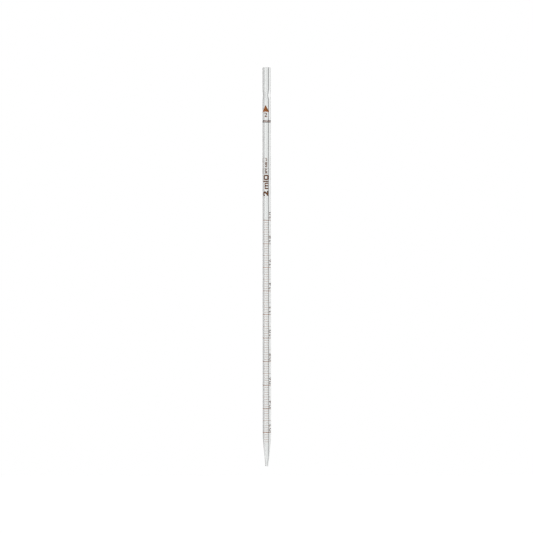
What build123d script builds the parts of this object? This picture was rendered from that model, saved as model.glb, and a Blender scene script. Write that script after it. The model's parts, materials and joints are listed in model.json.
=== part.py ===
from build123d import *
import math
import os

# A 2 ml graduated pipette, divided in 0.02 ml: one drawn glass tube with a scale and marks fired
# onto it. The jet's tip is at the origin, the tube stands along +Z, and the scale faces -Y.
# Lengths are in millimetres, volumes in cubic millimetres and angles in degrees. An angle of 0 is
# the middle of the scale, and positive angles go to the right of a reader who looks at the scale.

# Driving dimensions of the glass
overall_length = 360.0
barrel_radius = 3.70
bore_radius = 1.73
rim_fillet = 0.80

# The drawn jet: a long cone outside, and a bore that narrows gently to a neck, then to the orifice
tip_radius = 1.25
tip_outer_fillet = 0.40
tip_inner_fillet = 0.15
orifice_radius = 0.50
jet_corner_height = 26.0
jet_shoulder_radius = 60.0
jet_neck_radius = 1.40
jet_neck_height = 10.0
jet_bore_height = 25.0

# The constriction that holds a cotton plug in the mouthpiece. Its lower side is the steeper one.
throat_height = 334.4
throat_radius = 1.00
waist_radius = 3.35
throat_low_end = 330.5
throat_high_end = 341.5

# The scale
division_volume = 20.0
divisions_per_number = 10
first_division = 6
last_division = 100
ring_line_width = 0.40
mark_line_width = 0.24
fine_mark_arc = 63.0
half_mark_arc = 144.0

# The print
print_thickness = 0.04
print_low_end = 19.0
print_high_end = 328.0
numeral_cap_height = 3.1
numeral_pen = 0.42
numeral_stretch = 1.22
numeral_gap = 0.38
numeral_angle = 65.0
numeral_rise = 0.9
capacity_foot = 243.7
capacity_cap_height = 5.1
capacity_pen = 0.95
capacity_angle = -10.0
capacity_stretch = 1.38
capacity_unit_foot = 250.0
capacity_gap = 0.3
quality_mark_height = 260.6
quality_mark_length = 4.8
quality_mark_width = 4.6
quality_mark_corner = 1.3
quality_mark_pen = 1.25
quality_mark_angle = -2.0
calibration_foot = 263.9
calibration_cap_height = 2.2
calibration_pen = 0.46
calibration_gap = 0.12
calibration_stretch = 0.86
calibration_angles = (-2.0, -66.0)
calibration_lines = ("20°C 0.02 ml", "±0.01 ml 20°C")
arrow_base_height = 319.45
arrow_length = 6.55
arrow_width = 6.9
arrow_notch = 0.6
arrow_angle = -9.0
type_numeral_height = 317.1
type_numeral_cap_height = 4.0
type_numeral_pen = 0.55
type_numeral_angle = -7.0
colour_ring_height = 311.35
colour_ring_width = 2.0

bore_area = math.pi * bore_radius**2
edge_tolerance = 0.01
stamp_reach = barrel_radius + 1.0

# Pen strokes of each character on a cell one cap height tall, measured along the pen's middle.
# A bar is its two ends; a bow is its centre, radius, first angle and sweep.
cell_width = 0.60
strokes = {
    "0": [(0.3, 0.7, 0.3, 0, 180), (0.3, 0.3, 0.3, 180, 180), (0, 0.3, 0, 0.7), (0.6, 0.3, 0.6, 0.7)],
    "1": [(0.35, 0, 0.35, 1), (0.35, 1, 0.1, 0.78)],
    "2": [(0.3, 0.7, 0.3, -35, 200), (0.546, 0.528, 0, 0), (0, 0, 0.6, 0)],
    "4": [(0.45, 0, 0.45, 1), (0.45, 1, 0, 0.3), (0, 0.3, 0.62, 0.3)],
    "6": [(0.3, 0.3, 0.3, 0, 180), (0.3, 0.3, 0.3, 180, 180), (0.04, 0.42, 0.4, 1)],
    "8": [
        (0.3, 0.76, 0.24, 0, 180),
        (0.3, 0.76, 0.24, 180, 180),
        (0.3, 0.27, 0.27, 0, 180),
        (0.3, 0.27, 0.27, 180, 180),
    ],
    ".": [(0, 0, 0.04, 0)],
    "m": [
        (0, 0, 0, 0.68),
        (0.2, 0.48, 0.2, 0, 180),
        (0.4, 0, 0.4, 0.48),
        (0.6, 0.48, 0.2, 0, 180),
        (0.8, 0, 0.8, 0.48),
    ],
    "l": [(0, 0, 0, 1)],
    "C": [(0.3, 0.7, 0.3, 20, 160), (0, 0.3, 0, 0.7), (0.3, 0.3, 0.3, 180, 160)],
    "°": [(0.15, 0.85, 0.15, 0, 180), (0.15, 0.85, 0.15, 180, 180)],
    "±": [(0, 0.6, 0.5, 0.6), (0.25, 0.35, 0.25, 0.85), (0, 0.1, 0.5, 0.1)],
}
widths = {".": 0.04, "m": 0.80, "l": 0.0, "°": 0.30, "±": 0.50, " ": 0.10}


def stroke(numbers, tall, pen):
    """One pen stroke, a bar or a bow, with round ends."""
    if len(numbers) == 5:
        x, y, radius, first, sweep = numbers
        return SlotArc(CenterArc((x * tall, y * tall), radius * tall, first, sweep), pen)
    x0, y0, x1, y1 = (n * tall for n in numbers)
    length = math.hypot(x1 - x0, y1 - y0)
    turn = math.degrees(math.atan2(y1 - y0, x1 - x0))
    return Pos((x0 + x1) / 2, (y0 + y1) / 2) * SlotCenterToCenter(length, pen, rotation=turn)


def lettering(words, cap_height, pen, gap=0.0, stretch=1.0):
    """A word's characters side by side from x = 0, centred across their cap height.
    A stretch widens the characters and the gaps between them."""
    tall = cap_height - pen
    drawn = []
    x = pen / 2
    for character in words:
        for numbers in strokes.get(character, []):
            drawn.append(Pos(x, -tall / 2) * stroke(numbers, tall, pen))
        x += widths.get(character, cell_width) * tall + pen + gap
    return scale(Sketch() + drawn, by=(stretch, 1, 1))


def outer_profile():
    """The outside of the glass from the tip up to the rim."""
    jet = FilletPolyline(
        (tip_radius, 0),
        (barrel_radius, jet_corner_height),
        (barrel_radius, throat_low_end),
        radius=jet_shoulder_radius,
    )
    lower = Spline(
        (barrel_radius, throat_low_end), (waist_radius, throat_height), tangents=[(0, 1), (0, 1)]
    )
    upper = Spline(
        (waist_radius, throat_height), (barrel_radius, throat_high_end), tangents=[(0, 1), (0, 1)]
    )
    mouthpiece = Line((barrel_radius, throat_high_end), (barrel_radius, overall_length))
    return jet.edges() + [lower, upper, mouthpiece]


def bore_profile():
    """The inside of the glass from the orifice up to the mouth."""
    up = [(0, 1), (0, 1)]
    tip = Spline((orifice_radius, 0), (jet_neck_radius, jet_neck_height), tangents=up)
    neck = Spline((jet_neck_radius, jet_neck_height), (bore_radius, jet_bore_height), tangents=up)
    measuring = Line((bore_radius, jet_bore_height), (bore_radius, throat_low_end))
    lower = Spline((bore_radius, throat_low_end), (throat_radius, throat_height), tangents=up)
    upper = Spline((throat_radius, throat_height), (bore_radius, throat_high_end), tangents=up)
    mouth = Line((bore_radius, throat_high_end), (bore_radius, overall_length))
    return [tip, neck, measuring, lower, upper, mouth]


def revolved(edges):
    """The solid that a closed outline in the XZ plane sweeps round the axis."""
    return revolve(Plane.XZ * make_face(edges), Axis.Z)


def at_end(edges, height, radius):
    """The circular edge of the given radius at one end of the tube."""
    low, high = height - edge_tolerance, height + edge_tolerance
    level = edges.filter_by(GeomType.CIRCLE).filter_by_position(Axis.Z, low, high)
    return [edge for edge in level if abs(edge.radius - radius) < edge_tolerance]


def glass_tube():
    """The whole tube: jet, measuring barrel, constriction and fire-polished mouthpiece."""
    foot = Line((orifice_radius, 0), (tip_radius, 0))
    rim = Line((bore_radius, overall_length), (barrel_radius, overall_length))
    tube = revolved([foot, rim] + outer_profile() + bore_profile())
    tube = fillet(at_end(tube.edges(), overall_length, barrel_radius), rim_fillet)
    tube = fillet(at_end(tube.edges(), overall_length, bore_radius), rim_fillet)
    tube = fillet(at_end(tube.edges(), 0, tip_radius), tip_outer_fillet)
    return fillet(at_end(tube.edges(), 0, orifice_radius), tip_inner_fillet)


def jet_bore_volume():
    """What the jet's bore holds, from the orifice up to where the bore is straight."""
    tip, neck = bore_profile()[:2]
    foot = Line((0, 0), (orifice_radius, 0))
    top = Line((bore_radius, jet_bore_height), (0, jet_bore_height))
    axis = Line((0, jet_bore_height), (0, 0))
    return revolved([foot, tip, neck, top, axis]).volume


def print_skin():
    """The thin layer over the outside of the glass that every fired mark is cut from."""
    tall = 2 * barrel_radius
    jet = outer_profile()[:3]
    top = jet[-1] @ 1
    axis_up = Line((0, 0), (0, top.Y))
    glass = revolved(jet + [Line((0, 0), jet[0] @ 0), Line(top, (0, top.Y)), axis_up])
    thick = [Pos(print_thickness, 0) * edge for edge in jet]
    outer_foot = Line((0, 0), thick[0] @ 0)
    outer_top = Line(thick[-1] @ 1, (0, top.Y))
    layer = revolved(thick + [outer_foot, outer_top, axis_up]) - glass
    middle = (print_low_end + print_high_end) / 2
    return layer & Pos(0, 0, middle) * Cylinder(tall, print_high_end - print_low_end)


def division_height(division):
    """Where a division's mark stands, from the volume of the bore below it."""
    return jet_bore_height + (division * division_volume - volume_of_jet) / bore_area


def mark(height, width, arc=360.0, middle=0.0):
    """A mark round the tube, over an arc centred on the given angle."""
    on_axis = (Align.NONE, Align.NONE, Align.CENTER)
    stamp = Cylinder(stamp_reach, width, arc_size=arc, align=on_axis)
    return skin & Pos(0, 0, height) * Rot(0, 0, middle - arc / 2 - 90) * stamp


def facing(angle, height, rotated):
    """A plane on the axis that looks out at an angle, with text across it or up the tube."""
    out = Vector(math.sin(math.radians(angle)), -math.cos(math.radians(angle)), 0)
    across = Vector(math.cos(math.radians(angle)), math.sin(math.radians(angle)), 0)
    return Plane(origin=(0, 0, height), x_dir=Vector(0, 0, 1) if rotated else across, z_dir=out)


def fired(sketch, angle, height, rotated=True):
    """A flat drawing fired onto the glass at an angle and a height."""
    return skin & extrude(facing(angle, height, rotated) * sketch, amount=stamp_reach)


def graduations():
    """The scale's full rings, half-number marks and fine marks."""
    rings, halves, fine = [], [], []
    for division in range(first_division, last_division + 1):
        height = division_height(division)
        if division % divisions_per_number == 0:
            rings.append(mark(height, ring_line_width))
        elif division % (divisions_per_number // 2) == 0:
            halves.append(mark(height, mark_line_width, half_mark_arc))
        else:
            fine.append(mark(height, mark_line_width, fine_mark_arc))
    return rings, halves, fine


def scale_numerals():
    """The volume at each full ring, read upwards, above the ring and to its right."""
    labels = []
    for division in range(divisions_per_number, last_division + 1, divisions_per_number):
        text = f"{division * division_volume / 1000:.1f}"
        drawing = lettering(text, numeral_cap_height, numeral_pen, numeral_gap, numeral_stretch)
        labels.append(fired(drawing, numeral_angle, division_height(division) + numeral_rise))
    return labels


def capacity_marking():
    """The nominal capacity in large characters, read upwards."""
    number = lettering("2", capacity_cap_height, capacity_pen, stretch=capacity_stretch)
    unit = lettering("ml", capacity_cap_height, capacity_pen, capacity_gap, capacity_stretch)
    return [
        fired(number, capacity_angle, capacity_foot),
        fired(unit, capacity_angle, capacity_unit_foot),
    ]


def quality_mark():
    """A plain frame with rounded corners."""
    length, width = quality_mark_length, quality_mark_width
    outer = RectangleRounded(length, width, quality_mark_corner)
    trim = 2 * quality_mark_pen
    inner = RectangleRounded(length - trim, width - trim, quality_mark_corner - quality_mark_pen)
    return [fired(outer - inner, quality_mark_angle, quality_mark_height)]


def calibration_text():
    """Two lines of small characters, read upwards: reference temperature, division and tolerance."""
    lines = []
    for words, angle in zip(calibration_lines, calibration_angles):
        drawing = lettering(
            words, calibration_cap_height, calibration_pen, calibration_gap, calibration_stretch
        )
        lines.append(fired(drawing, angle, calibration_foot))
    return lines


def direction_arrow():
    """A solid arrowhead, notched at its base, that points to the mouthpiece."""
    half = arrow_width / 2
    outline = Polyline((-half, 0), (0, arrow_notch), (half, 0), (0, arrow_length), close=True)
    return [fired(make_face(outline), arrow_angle, arrow_base_height, rotated=False)]


def type_numeral():
    """The upright numeral under the arrow."""
    drawing = lettering("2", type_numeral_cap_height, type_numeral_pen)
    middle = Pos(-drawing.bounding_box().center().X, 0) * drawing
    return [fired(middle, type_numeral_angle, type_numeral_height, rotated=False)]


def save(name, shapes):
    """Writes a node's STEP file with each of its solids separate."""
    solids = [solid for shape in shapes for solid in shape.solids()]
    whole = Compound(children=solids) if len(solids) > 1 else solids[0]
    export_step(whole, f"parts/{name}.step")


os.makedirs("parts", exist_ok=True)
volume_of_jet = jet_bore_volume()
skin = print_skin()
rings, halves, fine = graduations()
save("glass_tube", [glass_tube()])
save("main_graduation_rings", rings)
save("half_graduation_marks", halves)
save("fine_graduation_marks", fine)
save("scale_numerals", scale_numerals())
save("capacity_marking", capacity_marking())
save("quality_mark", quality_mark())
save("calibration_text", calibration_text())
save("direction_arrow", direction_arrow())
save("type_numeral", type_numeral())
save("colour_code_ring", [mark(colour_ring_height, colour_ring_width)])
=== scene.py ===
import json
import math

import bmesh
import bpy
from mathutils import Matrix, Vector


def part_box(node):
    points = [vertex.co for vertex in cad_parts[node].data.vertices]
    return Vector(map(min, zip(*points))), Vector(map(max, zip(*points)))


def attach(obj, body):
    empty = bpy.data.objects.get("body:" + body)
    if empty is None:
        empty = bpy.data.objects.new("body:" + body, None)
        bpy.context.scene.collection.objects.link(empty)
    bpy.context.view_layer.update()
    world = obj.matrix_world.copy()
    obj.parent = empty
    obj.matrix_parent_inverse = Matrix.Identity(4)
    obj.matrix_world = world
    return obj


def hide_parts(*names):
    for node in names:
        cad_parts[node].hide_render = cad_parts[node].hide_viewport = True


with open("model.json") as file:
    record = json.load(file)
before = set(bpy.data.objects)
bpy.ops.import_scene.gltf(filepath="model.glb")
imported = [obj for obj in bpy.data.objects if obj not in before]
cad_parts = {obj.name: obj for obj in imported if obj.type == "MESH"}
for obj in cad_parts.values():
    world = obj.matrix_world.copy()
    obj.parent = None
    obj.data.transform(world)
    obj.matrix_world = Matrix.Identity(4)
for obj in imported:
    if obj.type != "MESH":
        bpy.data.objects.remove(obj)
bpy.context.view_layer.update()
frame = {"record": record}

# A graduated glass pipette: a drawn glass tube and the print fired onto it. Lengths are in metres
# and angles in degrees. An angle of 0 faces -Y, the middle of the scale, and positive angles go to
# the right of a reader who looks at the scale.
MM = 0.001
record = frame["record"]
mounts = {mount["name"]: mount for mount in record["mounts"]}

# The glass, from the frame, and the profile that the part's own source gives it
tube_low, tube_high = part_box("glass_tube")
tube_length = tube_high[2] - tube_low[2]
barrel_radius = mounts["mouthpiece"]["dims"]["r_mm"] * MM
bore_radius = mounts["plug_seat"]["dims"]["r_mm"] * MM
rim_fillet = 0.80 * MM
tip_radius = 1.25 * MM
tip_outer_fillet = 0.40 * MM
tip_inner_fillet = 0.15 * MM
orifice_radius = 0.50 * MM
jet_corner_height = 26.0 * MM
jet_shoulder_radius = 60.0 * MM
jet_neck_radius = 1.40 * MM
jet_neck_height = 10.0 * MM
jet_bore_height = 25.0 * MM
throat_height = 334.4 * MM
throat_radius = 1.00 * MM
waist_radius = 3.35 * MM
throat_low_end = 330.5 * MM
throat_high_end = 341.5 * MM

# How finely the glass is turned: round it, and along each stretch of its profile
glass_segments = 128
tip_round_steps = 8
tip_inner_steps = 6
cone_steps = 10
shoulder_steps = 8
barrel_steps = 60
waist_low_steps = 14
waist_high_steps = 20
jet_low_bore_steps = 20
jet_high_bore_steps = 16
throat_low_steps = 16
throat_high_steps = 24
mouth_steps = 6
rim_steps = 10

# The print: how far it stands out of the glass, how deep it sits in it and how its edges are rounded
print_proud = 0.022 * MM
print_sunk = 0.012 * MM
edge_round = 0.008 * MM
ring_segments = 96


# ---------------------------------------------------------------- camera

camera_azimuth = 6.0
camera_lean = -0.036
camera_focal_length = 300.0
camera_sensor = 36.0
view_width = 481.25 * MM
eye_height = 180.27 * MM
eye_offset = -0.2 * MM
camera_reach = 100


def make_camera():
    """A long lens, level with the middle of the tube, a little to the right of the scale."""
    camera = bpy.data.objects.new("camera", bpy.data.cameras.new("camera"))
    bpy.context.scene.collection.objects.link(camera)
    camera.data.sensor_width = camera_sensor
    camera.data.lens = camera_focal_length
    distance = view_width * camera_focal_length / camera_sensor
    turn = math.radians(camera_azimuth)
    away = Vector((math.sin(turn), -math.cos(turn), 0))
    right = Vector((math.cos(turn), math.sin(turn), 0))
    camera.location = away * distance + right * eye_offset + Vector((0, 0, eye_height))
    facing = (-away).to_track_quat("-Z", "Y").to_matrix()
    camera.rotation_euler = (facing @ Matrix.Rotation(math.radians(camera_lean), 3, "Z")).to_euler()
    camera.data.clip_end = camera_reach
    bpy.context.scene.camera = camera


make_camera()


# ---------------------------------------------------------------- node helpers

noise_detail = 3.0


def new_material(name):
    """A material with a bare Principled shader. Returns it, its node tree and the shader."""
    material = bpy.data.materials.new(name)
    material.use_nodes = True
    tree = material.node_tree
    shader = next(node for node in tree.nodes if node.type == "BSDF_PRINCIPLED")
    return material, tree, shader


def noise(tree, stretch, scale):
    """A noise texture in the piece's own space, stretched along the axes."""
    place = tree.nodes.new("ShaderNodeTexCoord")
    mapping = tree.nodes.new("ShaderNodeMapping")
    mapping.inputs["Scale"].default_value = stretch
    texture = tree.nodes.new("ShaderNodeTexNoise")
    texture.inputs["Scale"].default_value = scale
    texture.inputs["Detail"].default_value = noise_detail
    tree.links.new(place.outputs["Object"], mapping.inputs["Vector"])
    tree.links.new(mapping.outputs["Vector"], texture.inputs["Vector"])
    return texture.outputs["Fac"]


def ramp(tree, source, stops):
    """A colour ramp from (position, colour) stops."""
    node = tree.nodes.new("ShaderNodeValToRGB")
    elements = node.color_ramp.elements
    while len(elements) < len(stops):
        elements.new(0.5)
    for element, (position, colour) in zip(elements, stops):
        element.position = position
        element.color = (*colour, 1.0)
    tree.links.new(source, node.inputs["Fac"])
    return node.outputs["Color"]


def grey(value):
    """A colour without hue."""
    return (value, value, value)


def grey_ramp(tree, source, stops):
    """A ramp from (position, brightness) stops."""
    return ramp(tree, source, [(position, grey(value)) for position, value in stops])


# ---------------------------------------------------------------- materials

# Noise scales are in cells per metre
glass_index = 1.48
glass_tint = (0.975, 0.985, 0.98, 1)
no_stretch = (1, 1, 1)
draw_line_stretch = (1, 1, 0.05)
draw_line_scale = 900
draw_line_roughness = [(0.4, 0.0), (0.9, 0.012)]
print_cloud_scale = 1400
dark_cloud = 0.3
light_cloud = 0.7
print_grain_scale = 5200
print_roughness = [(0.3, 0.18), (0.7, 0.32)]
print_bump_strength = 0.25
print_bump_depth = 0.01 * MM


def clear_glass():
    """Drawn borosilicate glass: clear, with faint draw lines along the tube."""
    material, tree, shader = new_material("clear_glass")
    shader.inputs["Base Color"].default_value = glass_tint
    shader.inputs["Transmission Weight"].default_value = 1.0
    shader.inputs["IOR"].default_value = glass_index
    draw_lines = noise(tree, draw_line_stretch, draw_line_scale)
    tree.links.new(grey_ramp(tree, draw_lines, draw_line_roughness), shader.inputs["Roughness"])
    return material


def fired_print(name, dark, light, clearness):
    """Enamel or stain fired onto the glass, uneven in colour and gloss. Some light passes through."""
    material, tree, shader = new_material(name)
    cloud = noise(tree, no_stretch, print_cloud_scale)
    colours = ramp(tree, cloud, [(dark_cloud, dark), (light_cloud, light)])
    tree.links.new(colours, shader.inputs["Base Color"])
    shader.inputs["Transmission Weight"].default_value = clearness
    shader.inputs["IOR"].default_value = glass_index
    grain = noise(tree, no_stretch, print_grain_scale)
    tree.links.new(grey_ramp(tree, grain, print_roughness), shader.inputs["Roughness"])
    bump = tree.nodes.new("ShaderNodeBump")
    bump.inputs["Strength"].default_value = print_bump_strength
    bump.inputs["Distance"].default_value = print_bump_depth
    tree.links.new(grain, bump.inputs["Height"])
    tree.links.new(bump.outputs["Normal"], shader.inputs["Normal"])
    return material


glass_material = clear_glass()
brown_material = fired_print(
    "amber_print", dark=(0.12, 0.043, 0.012), light=(0.46, 0.15, 0.022), clearness=0.3
)
light_brown_material = fired_print(
    "amber_print_light", dark=(0.36, 0.095, 0.005), light=(0.85, 0.235, 0.012), clearness=0.15
)
grey_material = fired_print(
    "grey_print", dark=(0.76, 0.64, 0.61), light=(0.98, 0.87, 0.83), clearness=0.92
)


# ---------------------------------------------------------------- mesh helpers


def add_piece(name, bm, material, node):
    """Makes a smooth-shaded object of a mesh, in place of its CAD node."""
    bmesh.ops.recalc_face_normals(bm, faces=bm.faces)
    mesh = bpy.data.meshes.new(name)
    bm.to_mesh(mesh)
    bm.free()
    for polygon in mesh.polygons:
        polygon.use_smooth = True
    mesh.materials.append(material)
    piece = bpy.data.objects.new(name, mesh)
    bpy.context.scene.collection.objects.link(piece)
    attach(piece, "root")
    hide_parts(node)


def arc_points(centre, radius, first, last, steps):
    """Points on an arc from one angle to another, in degrees."""
    turns = [math.radians(first + (last - first) * i / steps) for i in range(steps + 1)]
    return [(centre[0] + radius * math.cos(t), centre[1] + radius * math.sin(t)) for t in turns]


def eased(start, end, steps):
    """Points on a curve that leaves start and reaches end parallel to the axis."""
    points = []
    for i in range(1, steps + 1):
        t = i / steps
        share = t * t * (3 - 2 * t)
        points.append((start[0] + (end[0] - start[0]) * share, start[1] + (end[1] - start[1]) * t))
    return points


def evenly(start, end, steps):
    """Points on a straight run, without its start."""
    shares = [i / steps for i in range(1, steps + 1)]
    return [tuple(start[k] + (end[k] - start[k]) * share for k in (0, 1)) for share in shares]


def cone_lean():
    """How far the jet's cone leans from the axis, in radians."""
    return math.atan2(barrel_radius - tip_radius, jet_corner_height)


def outer_profile():
    """(radius, height) points up the outside of the glass, from the tip's end face to the rim's."""
    lean = cone_lean()
    reach = jet_shoulder_radius * math.tan(lean / 2)
    leaning = math.degrees(lean)
    cone_end = (
        barrel_radius - reach * math.sin(lean),
        jet_corner_height - reach * math.cos(lean),
    )
    # The tip's rounded edge touches the end face and the cone
    wall_at_centre = tip_radius + tip_outer_fillet * math.tan(lean)
    round_centre = (wall_at_centre - tip_outer_fillet / math.cos(lean), tip_outer_fillet)
    points = arc_points(round_centre, tip_outer_fillet, -90, -leaning, tip_round_steps)
    points += evenly(points[-1], cone_end, cone_steps)
    shoulder_centre = (barrel_radius - jet_shoulder_radius, jet_corner_height + reach)
    points += arc_points(shoulder_centre, jet_shoulder_radius, -leaning, 0, shoulder_steps)[1:]
    points += evenly(points[-1], (barrel_radius, throat_low_end), barrel_steps)
    points += eased(points[-1], (waist_radius, throat_height), waist_low_steps)
    points += eased(points[-1], (barrel_radius, throat_high_end), waist_high_steps)
    rim_centre = (barrel_radius - rim_fillet, tube_length - rim_fillet)
    points += evenly(points[-1], (barrel_radius, rim_centre[1]), mouth_steps)
    return points + arc_points(rim_centre, rim_fillet, 0, 90, rim_steps)[1:]


def bore_profile():
    """(radius, height) points down the inside of the glass, from the rim's end face to the tip's."""
    lip_centre = (orifice_radius + tip_inner_fillet, tip_inner_fillet)
    points = arc_points(lip_centre, tip_inner_fillet, 270, 180, tip_inner_steps)
    points += eased(points[-1], (jet_neck_radius, jet_neck_height), jet_low_bore_steps)
    points += eased(points[-1], (bore_radius, jet_bore_height), jet_high_bore_steps)
    points += evenly(points[-1], (bore_radius, throat_low_end), barrel_steps)
    points += eased(points[-1], (throat_radius, throat_height), throat_low_steps)
    points += eased(points[-1], (bore_radius, throat_high_end), throat_high_steps)
    rim_centre = (bore_radius + rim_fillet, tube_length - rim_fillet)
    points += evenly(points[-1], (bore_radius, rim_centre[1]), mouth_steps)
    points += arc_points(rim_centre, rim_fillet, 180, 90, rim_steps)[1:]
    return points[::-1]


def lathed(profile, segments):
    """A closed ring-shaped solid from a closed profile turned round the axis."""
    bm = bmesh.new()
    rings = []
    for i in range(segments):
        turn = 2 * math.pi * i / segments
        out = (math.sin(turn), -math.cos(turn))
        rings.append([bm.verts.new((r * out[0], r * out[1], z)) for r, z in profile])
    for i in range(segments):
        here, after = rings[i], rings[(i + 1) % segments]
        for j in range(len(profile)):
            k = (j + 1) % len(profile)
            bm.faces.new((here[j], after[j], after[k], here[k]))
    return bm


def outer_radius(height):
    """The radius of the outside of the glass at a height."""
    profile = outer_profile()
    for (r0, z0), (r1, z1) in zip(profile, profile[1:]):
        if z0 <= height <= z1 and z1 > z0:
            return r0 + (r1 - r0) * (height - z0) / (z1 - z0)
    return barrel_radius


# ---------------------------------------------------------------- glass


def make_glass():
    wall = lathed(outer_profile() + bore_profile(), glass_segments)
    add_piece("drawn_glass", wall, glass_material, "glass_tube")


make_glass()


# ---------------------------------------------------------------- graduation marks


def band_section(height, width):
    """The section of a printed line: sunk in the glass, with rounded upper edges."""
    surface = outer_radius(height)
    low, high = height - width / 2, height + width / 2
    top = surface + print_proud
    foot = surface - print_sunk
    return [
        (foot, low),
        (top - edge_round, low),
        (top, low + 2 * edge_round),
        (top, high - 2 * edge_round),
        (top - edge_round, high),
        (foot, high),
    ]


def add_arc(bm, section, arc, segments):
    """A printed line over an arc about the middle of the scale, with closed ends."""
    rows = []
    for i in range(segments + 1):
        turn = math.radians(-arc / 2 + arc * i / segments)
        out = (math.sin(turn), -math.cos(turn))
        rows.append([bm.verts.new((r * out[0], r * out[1], z)) for r, z in section])
    for here, after in zip(rows, rows[1:]):
        for j in range(len(section)):
            k = (j + 1) % len(section)
            bm.faces.new((here[j], after[j], after[k], here[k]))
    bm.faces.new(rows[0])
    bm.faces.new(rows[-1][::-1])


def add_ring(bm, section):
    """A printed line all the way round."""
    whole = lathed(section, ring_segments)
    mesh = bpy.data.meshes.new("ring")
    whole.to_mesh(mesh)
    whole.free()
    bm.from_mesh(mesh)
    bpy.data.meshes.remove(mesh)


rings_low, rings_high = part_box("main_graduation_rings")
ring_line_width = 0.38 * MM
mark_line_width = 0.22 * MM
divisions_per_ml = 50
divisions_per_number = 10
divisions_per_half_mark = 5
first_division = 6
last_division = 100
fine_mark_arc = 63.0
half_mark_arc = 144.0
fine_mark_segments = 18
half_mark_segments = 40
cad_ring_line_width = 0.40 * MM
top_ring_height = rings_high[2] - cad_ring_line_width / 2
low_ring_height = rings_low[2] + cad_ring_line_width / 2
division_pitch = (top_ring_height - low_ring_height) / (last_division - divisions_per_number)


def division_height(division):
    """The height of a line of the scale, counted in divisions from the jet."""
    return low_ring_height + (division - divisions_per_number) * division_pitch


def make_graduations():
    rings, halves, fine = bmesh.new(), bmesh.new(), bmesh.new()
    for division in range(first_division, last_division + 1):
        height = division_height(division)
        section = band_section(height, mark_line_width)
        if division % divisions_per_number == 0:
            add_ring(rings, band_section(height, ring_line_width))
        elif division % divisions_per_half_mark == 0:
            add_arc(halves, section, half_mark_arc, half_mark_segments)
        else:
            add_arc(fine, section, fine_mark_arc, fine_mark_segments)
    add_piece("ring_print", rings, light_brown_material, "main_graduation_rings")
    add_piece("half_mark_print", halves, light_brown_material, "half_graduation_marks")
    add_piece("fine_mark_print", fine, light_brown_material, "fine_graduation_marks")


make_graduations()


def make_colour_ring():
    low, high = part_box("colour_code_ring")
    bm = bmesh.new()
    add_ring(bm, band_section((low[2] + high[2]) / 2, high[2] - low[2]))
    add_piece("colour_ring_print", bm, grey_material, "colour_code_ring")


make_colour_ring()


# ---------------------------------------------------------------- lettering and marks

text_curve_steps = 6
round_letter_steps = 8
# A flat mesh is cut into strips this wide before it is bent round the glass
strip_width = 0.2 * MM
same_point = 1e-6
on_the_cut = 1e-7
shortest_edge = 5e-6
# The small m, in shares of its width or height
m_stem = 0.2
m_arch_thickness = 0.24
m_valley = 0.9
m_crown = 0.97
m_valley_place = 1.7
m_shoulder = 0.8
# The 1, in shares of its width or height
one_stem = 0.4
one_flag_top = 0.8
one_flag_foot = 0.66
one_flag_root = 0.82


def flat_text(words, cap_height, width, weight):
    """Text as a flat mesh of a set height and width, centred on y = 0 and starting at x = 0."""
    curve = bpy.data.curves.new("text", "FONT")
    curve.body = words
    curve.offset = weight
    curve.resolution_u = text_curve_steps
    holder = bpy.data.objects.new("text", curve)
    bpy.context.scene.collection.objects.link(holder)
    bpy.context.view_layer.update()
    mesh = bpy.data.meshes.new_from_object(holder.evaluated_get(bpy.context.evaluated_depsgraph_get()))
    bm = bmesh.new()
    bm.from_mesh(mesh)
    bpy.data.objects.remove(holder)
    bpy.data.curves.remove(curve)
    bpy.data.meshes.remove(mesh)
    xs = [v.co.x for v in bm.verts]
    ys = [v.co.y for v in bm.verts]
    left, foot = min(xs), min(ys)
    across, tall = max(xs) - left, max(ys) - foot
    for v in bm.verts:
        v.co.x = (v.co.x - left) / across * width
        v.co.y = ((v.co.y - foot) / tall - 0.5) * cap_height
    return bm


def flat_shape(outline, height):
    """A flat mesh of an outline that stands on y = 0, moved down by half its height."""
    flat = bmesh.new()
    flat.faces.new([flat.verts.new((x, y - height / 2, 0)) for x, y in outline])
    flat.normal_update()
    bmesh.ops.triangulate(flat, faces=flat.faces)
    return flat


def letter_m(height, width):
    """A bold small m as a flat mesh, centred on y = 0 and starting at x = 0."""
    stem = m_stem * width
    counter = (width - 3 * stem) / 2
    arch_height = height - m_arch_thickness * height - counter / 2
    outline = [(0, 0), (stem, 0)]
    for left in (stem, 2 * stem + counter):
        arch = (left + counter / 2, arch_height)
        outline += arc_points(arch, counter / 2, 180, 0, round_letter_steps)
        outline += [(left + counter, 0), (left + counter + stem, 0)]
    shoulder = m_shoulder * (stem + counter / 2)
    outline += arc_points((width - shoulder, height - shoulder), shoulder, 0, 90, round_letter_steps)
    outline += [
        (2 * stem + 1.5 * counter, height),
        (m_valley_place * stem + counter, m_valley * height),
        (stem + counter, m_crown * height),
        (stem + counter / 2, height),
        (stem, m_valley * height),
        (stem, height),
        (0, height),
    ]
    return flat_shape(outline, height)


def digit_one(height, width):
    """A 1 with its flag as a flat mesh, centred on y = 0 and starting at x = 0."""
    left = (1 - one_stem) * width
    outline = [
        (left, 0),
        (width, 0),
        (width, height),
        (left, height),
        (0, one_flag_top * height),
        (0, one_flag_foot * height),
        (left, one_flag_root * height),
    ]
    return flat_shape(outline, height)


drawn_letters = {"m": letter_m, "1": digit_one}


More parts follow.
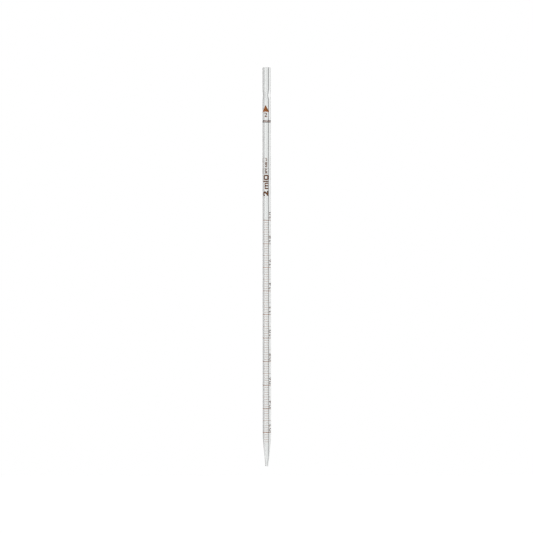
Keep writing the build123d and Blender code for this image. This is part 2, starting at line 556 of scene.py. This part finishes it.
def set_line(bm, runs, cap_height, line_length, angle, foot, weight):
    """A line of print up the tube. Each run is its text, where it starts and ends as shares of the
    line's length, and its height as a share of the cap height. All runs stand on one base line."""
    for words, start, end, share in runs:
        tall = cap_height * share
        drop = math.degrees((cap_height - tall) / 2 / barrel_radius)
        long = (end - start) * line_length
        if words in drawn_letters:
            flat = drawn_letters[words](tall, long)
        else:
            flat = flat_text(words, tall, long, weight)
        wrap(flat, bm, angle + drop, foot + start * line_length)


def wrap(flat, place, angle, height, rotated=True):
    """Wraps a flat mesh round the glass and gives it thickness, adding it to place.
    Rotated, x runs up the tube and y to the left; otherwise x runs to the right and y up."""
    bmesh.ops.remove_doubles(flat, verts=flat.verts, dist=same_point)
    spread = max(abs(v.co.y if rotated else v.co.x) for v in flat.verts)
    cuts = int(spread / strip_width)
    along = (0, 1, 0) if rotated else (1, 0, 0)
    for i in range(-cuts, cuts + 1):
        geometry = flat.verts[:] + flat.edges[:] + flat.faces[:]
        point = tuple(component * i * strip_width for component in along)
        bmesh.ops.bisect_plane(flat, geom=geometry, dist=on_the_cut, plane_co=point, plane_no=along)
    bmesh.ops.dissolve_degenerate(flat, dist=shortest_edge, edges=flat.edges)
    bmesh.ops.delete(flat, geom=[e for e in flat.edges if not e.link_faces], context="EDGES")
    bmesh.ops.delete(flat, geom=[v for v in flat.verts if not v.link_faces], context="VERTS")
    grown = bmesh.ops.extrude_face_region(flat, geom=flat.faces[:])
    lifted = {item for item in grown["geom"] if isinstance(item, bmesh.types.BMVert)}
    for v in flat.verts:
        side, up = (-v.co.y, v.co.x) if rotated else (v.co.x, v.co.y)
        turn = math.radians(angle) + side / barrel_radius
        z = height + up
        surface = outer_radius(z)
        r = surface + print_proud if v in lifted else surface - print_sunk
        v.co = (r * math.sin(turn), -r * math.cos(turn), z)
    mesh = bpy.data.meshes.new("wrapped")
    flat.to_mesh(mesh)
    flat.free()
    place.from_mesh(mesh)
    bpy.data.meshes.remove(mesh)


numeral_cap_height = 3.1 * MM
numeral_angle = 65.0
numeral_rise = 0.9 * MM
numeral_length = 6.5 * MM
numeral_weight = 0.0
# Where the first digit, the point and the last digit start and end along a number, and their share
# of the cap height
numeral_places = ((0.0, 0.43, 1.0), (0.475, 0.54, 0.2), (0.58, 1.0, 1.0))
# A 1 is narrower than the other digits by this share of its place at each end
narrow_digit_spare = 0.22


def numeral_runs(words):
    """The characters of a number, each as a run for set_line."""
    runs = []
    for character, (start, end, share) in zip(words, numeral_places):
        spare = (end - start) * narrow_digit_spare if character == "1" else 0.0
        runs.append((character, start + spare, end - spare, share))
    return runs


def make_numerals():
    bm = bmesh.new()
    for division in range(divisions_per_number, last_division + 1, divisions_per_number):
        runs = numeral_runs(f"{division / divisions_per_ml:.1f}")
        foot = division_height(division) + numeral_rise
        set_line(bm, runs, numeral_cap_height, numeral_length, numeral_angle, foot, numeral_weight)
    add_piece("numeral_print", bm, brown_material, "scale_numerals")


make_numerals()


capacity_angle = -10.0
capacity_cap_height = 5.1 * MM
capacity_weight = 0.05
capacity_runs = (("2", 0.0, 0.352, 1.0), ("m", 0.46, 0.884, 0.68), ("l", 0.917, 0.996, 1.0))


def make_capacity():
    low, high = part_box("capacity_marking")
    bm = bmesh.new()
    line_length = high[2] - low[2]
    set_line(
        bm, capacity_runs, capacity_cap_height, line_length, capacity_angle, low[2], capacity_weight
    )
    add_piece("capacity_print", bm, brown_material, "capacity_marking")


make_capacity()


quality_mark_width = 4.6 * MM
quality_mark_corner = 1.3 * MM
quality_mark_pen = 1.25 * MM
quality_mark_angle = -2.0


def rounded_outline(long, wide, corner):
    """Points round a rectangle with rounded corners, centred on the origin."""
    points = []
    for i, (along, across) in enumerate(((1, 1), (-1, 1), (-1, -1), (1, -1))):
        centre = (along * (long / 2 - corner), across * (wide / 2 - corner))
        points += arc_points(centre, corner, 90 * i, 90 * (i + 1), round_letter_steps)
    return points


def make_quality_mark():
    low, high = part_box("quality_mark")
    mark_length = high[2] - low[2]
    trim = 2 * quality_mark_pen
    inner_corner = quality_mark_corner - quality_mark_pen
    outer = rounded_outline(mark_length, quality_mark_width, quality_mark_corner)
    inner = rounded_outline(mark_length - trim, quality_mark_width - trim, inner_corner)
    flat = bmesh.new()
    rims = [[flat.verts.new((x, y, 0)) for x, y in outline] for outline in (outer, inner)]
    for i in range(len(outer)):
        after = (i + 1) % len(outer)
        flat.faces.new((rims[0][i], rims[0][after], rims[1][after], rims[1][i]))
    bm = bmesh.new()
    wrap(flat, bm, quality_mark_angle, (low[2] + high[2]) / 2)
    add_piece("quality_mark_print", bm, brown_material, "quality_mark")


make_quality_mark()


calibration_cap_height = 2.2 * MM
calibration_weight = 0.06
# Each line's angle round the glass and its runs
calibration_lines = (
    (-2.0, (("20°C 0.02", 0.0, 0.735, 1.0), ("m", 0.79, 0.915, 0.68), ("l", 0.95, 0.985, 1.0))),
    (-66.0, (("±0.01", 0.0, 0.37, 1.0), ("m", 0.43, 0.555, 0.68), ("l", 0.59, 0.625, 1.0),
             ("20°C", 0.68, 1.0, 1.0))),
)


def make_calibration_text():
    low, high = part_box("calibration_text")
    bm = bmesh.new()
    line_length = high[2] - low[2]
    for angle, runs in calibration_lines:
        set_line(bm, runs, calibration_cap_height, line_length, angle, low[2], calibration_weight)
    add_piece("calibration_print", bm, brown_material, "calibration_text")


make_calibration_text()


arrow_width = 6.9 * MM
arrow_notch = 0.6 * MM
arrow_angle = -9.0


def make_arrow():
    low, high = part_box("direction_arrow")
    outline = [(-arrow_width / 2, 0), (0, arrow_notch), (arrow_width / 2, 0), (0, high[2] - low[2])]
    flat = bmesh.new()
    flat.faces.new([flat.verts.new((x, y, 0)) for x, y in outline])
    bm = bmesh.new()
    wrap(flat, bm, arrow_angle, low[2], rotated=False)
    add_piece("arrow_print", bm, light_brown_material, "direction_arrow")


make_arrow()


type_numeral_width = 2.67 * MM
type_numeral_angle = -7.0
type_numeral_weight = 0.02


def make_type_numeral():
    low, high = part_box("type_numeral")
    flat = flat_text("2", high[2] - low[2], type_numeral_width, type_numeral_weight)
    bmesh.ops.translate(flat, verts=flat.verts, vec=(-type_numeral_width / 2, 0, 0))
    bm = bmesh.new()
    wrap(flat, bm, type_numeral_angle, (low[2] + high[2]) / 2, rotated=False)
    add_piece("type_numeral_print", bm, brown_material, "type_numeral")


make_type_numeral()


# ---------------------------------------------------------------- floor and light

floor_radius = 3.0
floor_height = -0.15
floor_segments = 64
floor_tint = (0.8, 0.8, 0.8, 1)
floor_roughness = 0.9
floor_glow = 0.8


def make_floor():
    """A wide plain floor, well under the tip: the pipette hangs from its mouthpiece."""
    bm = bmesh.new()
    bmesh.ops.create_circle(bm, cap_ends=True, segments=floor_segments, radius=floor_radius)
    bmesh.ops.translate(bm, verts=bm.verts, vec=(0, 0, floor_height))
    mesh = bpy.data.meshes.new("floor")
    bm.to_mesh(mesh)
    bm.free()
    material, _, shader = new_material("floor")
    shader.inputs["Base Color"].default_value = floor_tint
    shader.inputs["Roughness"].default_value = floor_roughness
    shader.inputs["Emission Color"].default_value = (1, 1, 1, 1)
    shader.inputs["Emission Strength"].default_value = floor_glow
    mesh.materials.append(material)
    floor = bpy.data.objects.new("floor", mesh)
    floor.visible_transmission = False
    floor.visible_glossy = False
    floor.visible_diffuse = False
    bpy.context.scene.collection.objects.link(floor)


make_floor()


# The room, by bearing in degrees from straight ahead or straight behind: a black card on each side,
# with a plain wall beyond it
card_near_edge = 64
card_far_edge = 78
card_blur = 6
side_wall = 0.9
# The left, middle and right walls between the cards: where each starts and ends, and its brightness
inner_walls = ((-56, -18, 1.0), (-6, 18, 0.8), (32, 56, 0.5))
# The share of that light by how steeply a ray climbs, from 0 for level to 1 for straight up
ceiling_share = [(0.0, 1), (0.4, 1), (0.7, 0.2), (1.0, 0.2)]


def maths(tree, operation, *sources):
    """A maths node over one or two values."""
    node = tree.nodes.new("ShaderNodeMath")
    node.operation = operation
    for source, target in zip(sources, node.inputs):
        tree.links.new(source, target)
    return node.outputs[0]


def colour_mix(tree, blend):
    """A node that mixes two colours."""
    node = tree.nodes.new("ShaderNodeMix")
    node.data_type = "RGBA"
    node.blend_type = blend
    return node


def wall_brightness():
    """(bearing, brightness) round the room, from far left to far right."""
    sides = [(card_near_edge, 0.0), (card_far_edge, 0.0)]
    sides += [(card_far_edge + card_blur, side_wall), (90, side_wall)]
    walls = [(sign * bearing, value) for bearing, value in sides for sign in (-1, 1)]
    for start, end, value in inner_walls:
        walls += [(start, value), (end, value)]
    return sorted(walls)


def room_bearing(tree, direction):
    """A ray's bearing in the room as a share from 0, far left, to 1, far right. Rays that go back
    count as their mirror image ahead."""
    depth = maths(tree, "ABSOLUTE", direction.outputs["Y"])
    bearing = maths(tree, "ARCTAN2", direction.outputs["X"], depth)
    share = tree.nodes.new("ShaderNodeMapRange")
    share.inputs["From Min"].default_value = -math.pi / 2
    share.inputs["From Max"].default_value = math.pi / 2
    tree.links.new(bearing, share.inputs["Value"])
    return share.outputs["Result"]


def ray_direction(tree):
    """The direction of a ray, with Y turned to where the camera looks, as separate X, Y and Z."""
    place = tree.nodes.new("ShaderNodeTexCoord")
    turned = tree.nodes.new("ShaderNodeVectorRotate")
    turned.rotation_type = "Z_AXIS"
    turned.inputs["Angle"].default_value = -math.radians(camera_azimuth)
    apart = tree.nodes.new("ShaderNodeSeparateXYZ")
    tree.links.new(place.outputs["Generated"], turned.inputs["Vector"])
    tree.links.new(turned.outputs["Vector"], apart.inputs["Vector"])
    return apart


def make_world():
    """A white to grey room with a tall black card on each side, the same in front of the object as
    behind it. The camera itself sees plain white."""
    world = bpy.data.worlds.new("studio")
    bpy.context.scene.world = world
    world.use_nodes = True
    tree = world.node_tree
    background = next(node for node in tree.nodes if node.type == "BACKGROUND")
    direction = ray_direction(tree)
    walls = [((bearing + 90) / 180, value) for bearing, value in wall_brightness()]
    around = grey_ramp(tree, room_bearing(tree, direction), walls)
    overhead = grey_ramp(tree, direction.outputs["Z"], ceiling_share)
    room = colour_mix(tree, "MULTIPLY")
    room.inputs["Factor"].default_value = 1.0
    tree.links.new(around, room.inputs["A"])
    tree.links.new(overhead, room.inputs["B"])
    seen = tree.nodes.new("ShaderNodeLightPath")
    choose = colour_mix(tree, "MIX")
    tree.links.new(seen.outputs["Is Camera Ray"], choose.inputs["Factor"])
    tree.links.new(room.outputs["Result"], choose.inputs["A"])
    choose.inputs["B"].default_value = (1, 1, 1, 1)
    tree.links.new(choose.outputs["Result"], background.inputs["Color"])
    bpy.context.scene.view_settings.view_transform = "Standard"


make_world()
